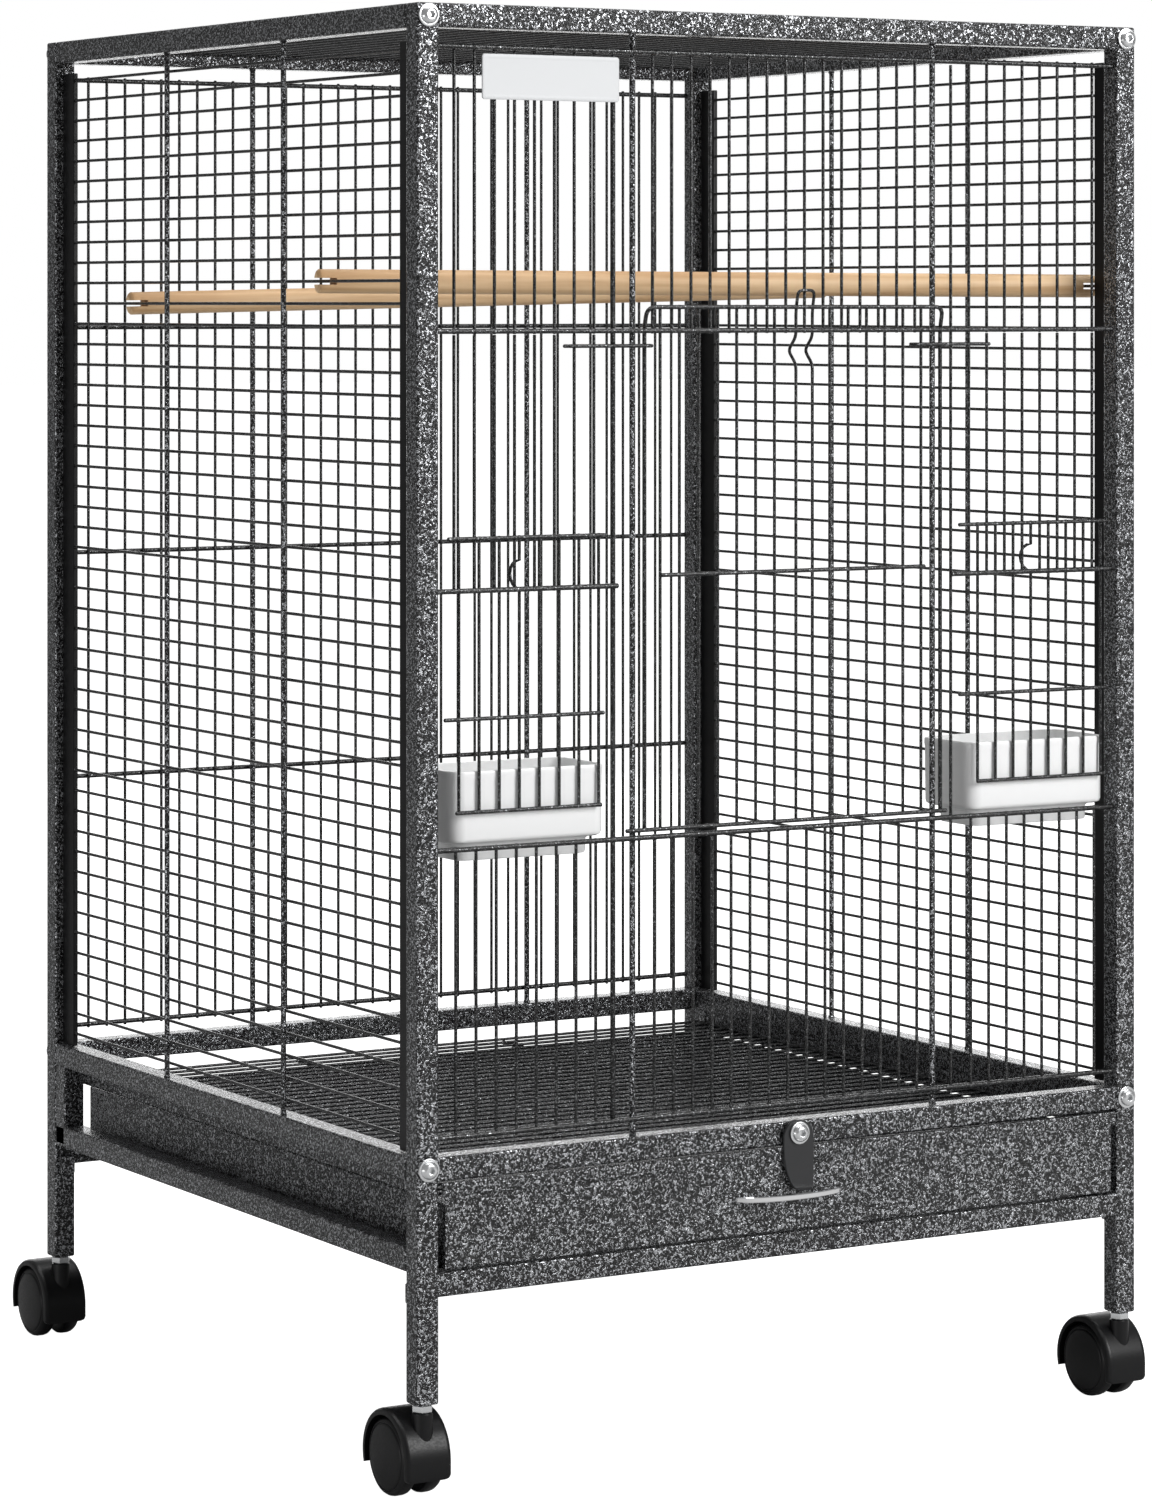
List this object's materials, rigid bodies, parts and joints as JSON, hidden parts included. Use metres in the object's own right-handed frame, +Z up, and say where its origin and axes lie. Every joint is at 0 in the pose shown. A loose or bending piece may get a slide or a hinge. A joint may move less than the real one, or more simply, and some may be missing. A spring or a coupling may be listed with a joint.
{
  "type": "bird cage on stand",
  "caption": "Square wire bird cage on a tube frame with casters, sliding main and feeder doors, feeding cups, perches, a floor grate and a pull-out tray with a turning latch.",
  "frame": {"origin": "on the floor, under the centre of the outline (bounding box bottom centre)", "axes": "+Z up; +X to the right seen from the front; +Y from the front to the back"},
  "size_m": [0.4754, 0.5074, 0.772],
  "materials": {
    "frame_coating": "glossy hammertone powder coat, charcoal with silver veins",
    "wire_coating": "satin black powder coat with fine silver flecks",
    "latch_coating": "smooth satin dark grey",
    "bright_zinc": "bright zinc plating",
    "handle_chrome": "polished",
    "cup_plastic": "glossy translucent white",
    "caster_plastic": "satin black",
    "perch_wood": "smooth unvarnished light wood",
    "plate_metal": "satin, blank"
  },
  "bodies": {
    "frame": {"front_frame": "frame_coating", "rear_frame": "frame_coating", "left_side_frame": "frame_coating", "right_side_frame": "frame_coating", "left_panel": "wire_coating", "right_panel": "wire_coating", "back_panel": "wire_coating", "roof_panel": "wire_coating", "front_upper_grille": "wire_coating", "front_lower_grille": "wire_coating", "front_left_column": "wire_coating", "front_right_column": "wire_coating", "left_divider_rod": "wire_coating", "right_divider_rod": "wire_coating", "left_door_guide": "wire_coating", "right_door_guide": "wire_coating", "front_left_upper_bolt": "bright_zinc", "front_left_lower_bolt": "bright_zinc", "front_right_upper_bolt": "bright_zinc", "front_right_lower_bolt": "bright_zinc", "rear_left_upper_bolt": "bright_zinc", "rear_left_lower_bolt": "bright_zinc", "rear_right_upper_bolt": "bright_zinc", "rear_right_lower_bolt": "bright_zinc", "near_perch": "perch_wood", "far_perch": "perch_wood", "name_plate": "plate_metal", "front_left_stem": "bright_zinc", "front_right_stem": "bright_zinc", "rear_left_stem": "bright_zinc", "rear_right_stem": "bright_zinc"},
    "main_door": {"main_door": "wire_coating"},
    "left_feeder_door": {"left_feeder_door": "wire_coating"},
    "right_feeder_door": {"right_feeder_door": "wire_coating"},
    "tray": {"tray": "frame_coating", "tray_handle": "handle_chrome", "latch_bolt": "bright_zinc"},
    "tray_latch": {"tray_latch": "latch_coating"},
    "floor_grate": {"floor_grate": "wire_coating"},
    "left_cup": {"left_cup": "cup_plastic"},
    "right_cup": {"right_cup": "cup_plastic"},
    "front_left_swivel": {"front_left_hood": "caster_plastic", "front_left_axle": "bright_zinc"},
    "front_left_left_wheel": {"front_left_left_wheel": "caster_plastic"},
    "front_left_right_wheel": {"front_left_right_wheel": "caster_plastic"},
    "front_right_swivel": {"front_right_hood": "caster_plastic", "front_right_axle": "bright_zinc"},
    "front_right_left_wheel": {"front_right_left_wheel": "caster_plastic"},
    "front_right_right_wheel": {"front_right_right_wheel": "caster_plastic"},
    "rear_left_swivel": {"rear_left_hood": "caster_plastic", "rear_left_axle": "bright_zinc"},
    "rear_left_left_wheel": {"rear_left_left_wheel": "caster_plastic"},
    "rear_left_right_wheel": {"rear_left_right_wheel": "caster_plastic"},
    "rear_right_swivel": {"rear_right_hood": "caster_plastic", "rear_right_axle": "bright_zinc"},
    "rear_right_left_wheel": {"rear_right_left_wheel": "caster_plastic"},
    "rear_right_right_wheel": {"rear_right_right_wheel": "caster_plastic"}
  },
  "joints": [
    {"name": "main_door_lift", "type": "slide", "parent": "frame", "child": "main_door", "axis": [0, 0, 1], "range_m": [0, 0.118]},
    {"name": "left_feeder_door_lift", "type": "slide", "parent": "frame", "child": "left_feeder_door", "axis": [0, 0, 1], "range_m": [0, 0.063]},
    {"name": "right_feeder_door_lift", "type": "slide", "parent": "frame", "child": "right_feeder_door", "axis": [0, 0, 1], "range_m": [0, 0.063]},
    {"name": "tray_pull", "type": "slide", "parent": "frame", "child": "tray", "axis": [0, -1, 0], "range_m": [0, 0.33]},
    {"name": "floor_grate_lift", "type": "slide", "parent": "frame", "child": "floor_grate", "axis": [0, 0, 1], "range_m": [0, 0.03]},
    {"name": "tray_latch_turn", "type": "hinge", "parent": "tray", "child": "tray_latch", "pos_m": [0.002, -0.24397, 0.171], "axis": [0, 1, 0], "range_deg": [-90, 90]},
    {"name": "left_cup_lift", "type": "slide", "parent": "frame", "child": "left_cup", "axis": [0, 0, 1], "range_m": [0, 0.03]},
    {"name": "right_cup_lift", "type": "slide", "parent": "frame", "child": "right_cup", "axis": [0, 0, 1], "range_m": [0, 0.03]},
    {"name": "front_left_swivel", "type": "hinge", "parent": "frame", "child": "front_left_swivel", "pos_m": [-0.22365, -0.23563, 0.045], "axis": [0, 0, 1], "continuous": true},
    {"name": "front_left_left_wheel_spin", "type": "hinge", "parent": "front_left_swivel", "child": "front_left_left_wheel", "pos_m": [-0.22365, -0.21863, 0.0203], "axis": [1, 0, 0], "continuous": true},
    {"name": "front_left_right_wheel_spin", "type": "hinge", "parent": "front_left_swivel", "child": "front_left_right_wheel", "pos_m": [-0.22365, -0.21863, 0.0203], "axis": [1, 0, 0], "continuous": true},
    {"name": "front_right_swivel", "type": "hinge", "parent": "frame", "child": "front_right_swivel", "pos_m": [0.22365, -0.23563, 0.045], "axis": [0, 0, 1], "continuous": true},
    {"name": "front_right_left_wheel_spin", "type": "hinge", "parent": "front_right_swivel", "child": "front_right_left_wheel", "pos_m": [0.22365, -0.21863, 0.0203], "axis": [1, 0, 0], "continuous": true},
    {"name": "front_right_right_wheel_spin", "type": "hinge", "parent": "front_right_swivel", "child": "front_right_right_wheel", "pos_m": [0.22365, -0.21863, 0.0203], "axis": [1, 0, 0], "continuous": true},
    {"name": "rear_left_swivel", "type": "hinge", "parent": "frame", "child": "rear_left_swivel", "pos_m": [-0.22365, 0.21168, 0.045], "axis": [0, 0, 1], "continuous": true},
    {"name": "rear_left_left_wheel_spin", "type": "hinge", "parent": "rear_left_swivel", "child": "rear_left_left_wheel", "pos_m": [-0.22365, 0.22867, 0.0203], "axis": [1, 0, 0], "continuous": true},
    {"name": "rear_left_right_wheel_spin", "type": "hinge", "parent": "rear_left_swivel", "child": "rear_left_right_wheel", "pos_m": [-0.22365, 0.22867, 0.0203], "axis": [1, 0, 0], "continuous": true},
    {"name": "rear_right_swivel", "type": "hinge", "parent": "frame", "child": "rear_right_swivel", "pos_m": [0.22365, 0.21168, 0.045], "axis": [0, 0, 1], "continuous": true},
    {"name": "rear_right_left_wheel_spin", "type": "hinge", "parent": "rear_right_swivel", "child": "rear_right_left_wheel", "pos_m": [0.22365, 0.22867, 0.0203], "axis": [1, 0, 0], "continuous": true},
    {"name": "rear_right_right_wheel_spin", "type": "hinge", "parent": "rear_right_swivel", "child": "rear_right_right_wheel", "pos_m": [0.22365, 0.22867, 0.0203], "axis": [1, 0, 0], "continuous": true}
  ]
}
